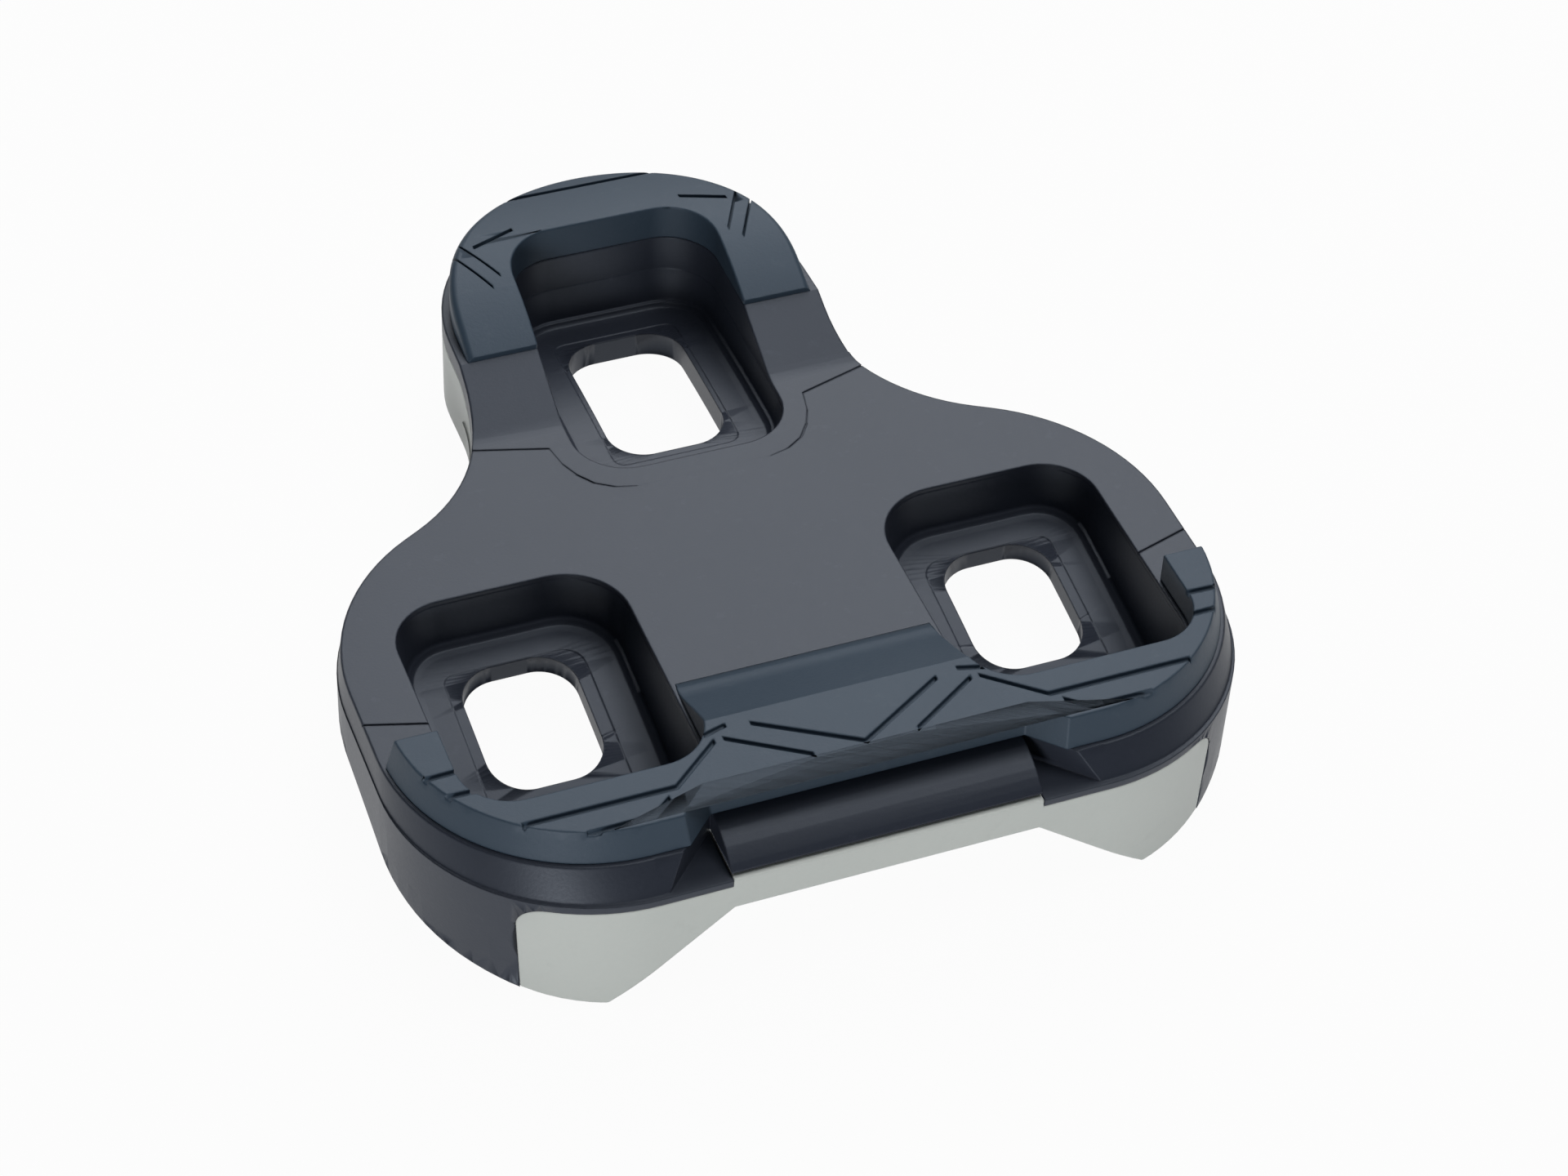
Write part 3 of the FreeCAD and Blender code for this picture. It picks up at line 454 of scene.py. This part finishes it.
# rear grip pad: short grooves on the arms and beside the notch
rearPadSizes = {
    "width": 0.4,
    "armGrooves": [
        [(27.2, -19.0, 2.15), (31.4, -19.15, 2.15)],
        [(26.2, -21.2, 2.15), (31.2, -21.1, 2.15)],
        [(8.8, -20.8, 2.2), (10.6, -21.3, 2.2)],
    ],
    "edge": 0.12,
}
rearPad = mergedCopy("rear_grip_pad", "rearGripPad")
carve(rearPad, rearPadSizes["armGrooves"], rearPadSizes["width"])
finishPiece(rearPad, finishes["rubber"], rearPadSizes["edge"], "rear_grip_pad")
print("rear grip pad: done", len(rearPad.data.polygons))

# nose grip pad: tread lines over the crown
nosePadSizes = {
    "width": 0.4,
    "grooves": [
        [(6.8, 37.03, 5.15), (-0.1, 37.03, 5.15)],
        [(7.0, 32.9, 5.5), (10.6, 31.6, 5.35)],
        [(11.6, 32.1, 5.35), (9.5, 28.1, 5.15)],
        [(12.6, 31.2, 5.1), (10.4, 27.1, 5.0)],
    ],
    "level": -9, "round": 0.14,
}
nosePad = mergedCopy("nose_grip_pad", "noseGripPad")
softenRims(nosePad, nosePadSizes["level"], nosePadSizes["round"])
carve(nosePad, nosePadSizes["grooves"], nosePadSizes["width"])
finishPiece(nosePad, finishes["rubber"], 0, "nose_grip_pad")
print("nose grip pad: done", len(nosePad.data.polygons))

# shoe plate
plateEdges = {"edge": 0.15}
shoePlate = mergedCopy("shoe_plate", "shoePlate")
drawIn(shoePlate, foot)
finishPiece(shoePlate, finishes["plate"], plateEdges["edge"], "shoe_plate")
print("shoe plate: done", len(shoePlate.data.polygons))

# stage: a pale floor that shows white and keeps a soft shadow
stage = {"floorSize": 3.0, "floorShade": 0.6, "glow": 0.96, "ambient": 0.03}
lamps = {
    "softboxNose": {"at": (0.2, 0.45, 0.48), "size": 0.5, "share": 0.56},
    "softboxTop": {"at": (0.2, -0.02, 0.7), "size": 0.4, "share": 0.3},
    "softboxLow": {"at": (-0.35, -0.6, 0.09), "size": 0.16, "share": 0.34},
}
bpy.ops.mesh.primitive_plane_add(size=stage["floorSize"], location=(0, 0, 0))
floor = bpy.context.object
floor.name = "floor"
floorMaterial = bpy.data.materials.new("paleFloor")
floorFinish = Finish(floorMaterial)
seen = floorFinish.node("ShaderNodeLightPath", None, None, "Is Camera Ray")
gloss = floorFinish.node("ShaderNodeLightPath", None, None, "Is Glossy Ray")
through = floorFinish.node("ShaderNodeLightPath", None, None, "Is Transmission Ray")
plain = floorFinish.node("ShaderNodeBsdfDiffuse", None, {"Color": (stage["floorShade"],) * 3 + (1,)})
glow = floorFinish.node("ShaderNodeEmission", None, {"Color": (1, 1, 1, 1), "Strength": 1.0})
direct = (seen + gloss + through) * stage["glow"]
shown = floorFinish.node("ShaderNodeMixShader", None, {0: direct, 1: plain, 2: glow})
floorFinish.node("ShaderNodeOutputMaterial", None, {"Surface": shown})
floor.data.materials.append(floorMaterial)

world = bpy.data.worlds.new("studio")
scene.world = world
sky = Finish(world)
seen = sky.node("ShaderNodeLightPath", None, None, "Is Camera Ray")
through = sky.node("ShaderNodeLightPath", None, None, "Is Transmission Ray")
dim = sky.node("ShaderNodeBackground", None, {"Color": (1, 1, 1, 1), "Strength": stage["ambient"]})
bright = sky.node("ShaderNodeBackground", None, {"Color": (1, 1, 1, 1), "Strength": 1.0})
shown = sky.node("ShaderNodeMixShader", None, {0: seen + through, 1: dim, 2: bright})
sky.node("ShaderNodeOutputWorld", None, {"Surface": shown})

for name, lamp in lamps.items():
    data = bpy.data.lights.new(name, "AREA")
    data.shape = "SQUARE"
    data.size = lamp["size"]
    reach = Vector(lamp["at"]).length
    data.energy = lamp["share"] * math.pi ** 2 * reach ** 2
    holder = bpy.data.objects.new(name, data)
    holder.location = lamp["at"]
    holder.rotation_mode = "QUATERNION"
    holder.rotation_quaternion = (-Vector(lamp["at"])).to_track_quat("-Z", "Y")
    scene.collection.objects.link(holder)
print("stage: done")

# camera
shot = {"eye": (-75.9, -187.2, 186.3), "azimuth": 23.11, "elevation": 43.52, "roll": -3.08, "lens": 84.375}
azimuth, elevation, roll = (math.radians(shot[k]) for k in ("azimuth", "elevation", "roll"))
level = math.cos(elevation)
ahead = Vector((math.sin(azimuth) * level, math.cos(azimuth) * level, -math.sin(elevation)))
right = Vector((math.cos(azimuth), -math.sin(azimuth), 0))
down = ahead.cross(right)
rolledRight = math.cos(roll) * right + math.sin(roll) * down
rolledDown = -math.sin(roll) * right + math.cos(roll) * down
turn = Matrix((rolledRight, -rolledDown, -ahead)).transposed()
cameraData = bpy.data.cameras.new("shot")
cameraData.lens = shot["lens"]
cameraData.sensor_width = 36
cameraData.clip_start = 0.01
camera = bpy.data.objects.new("shot", cameraData)
camera.rotation_mode = "QUATERNION"
camera.rotation_quaternion = (deckTurn @ turn).to_quaternion()
camera.location = onDeck(*shot["eye"])
scene.collection.objects.link(camera)
scene.camera = camera
scene.view_settings.view_transform = "Standard"
print("camera: done")
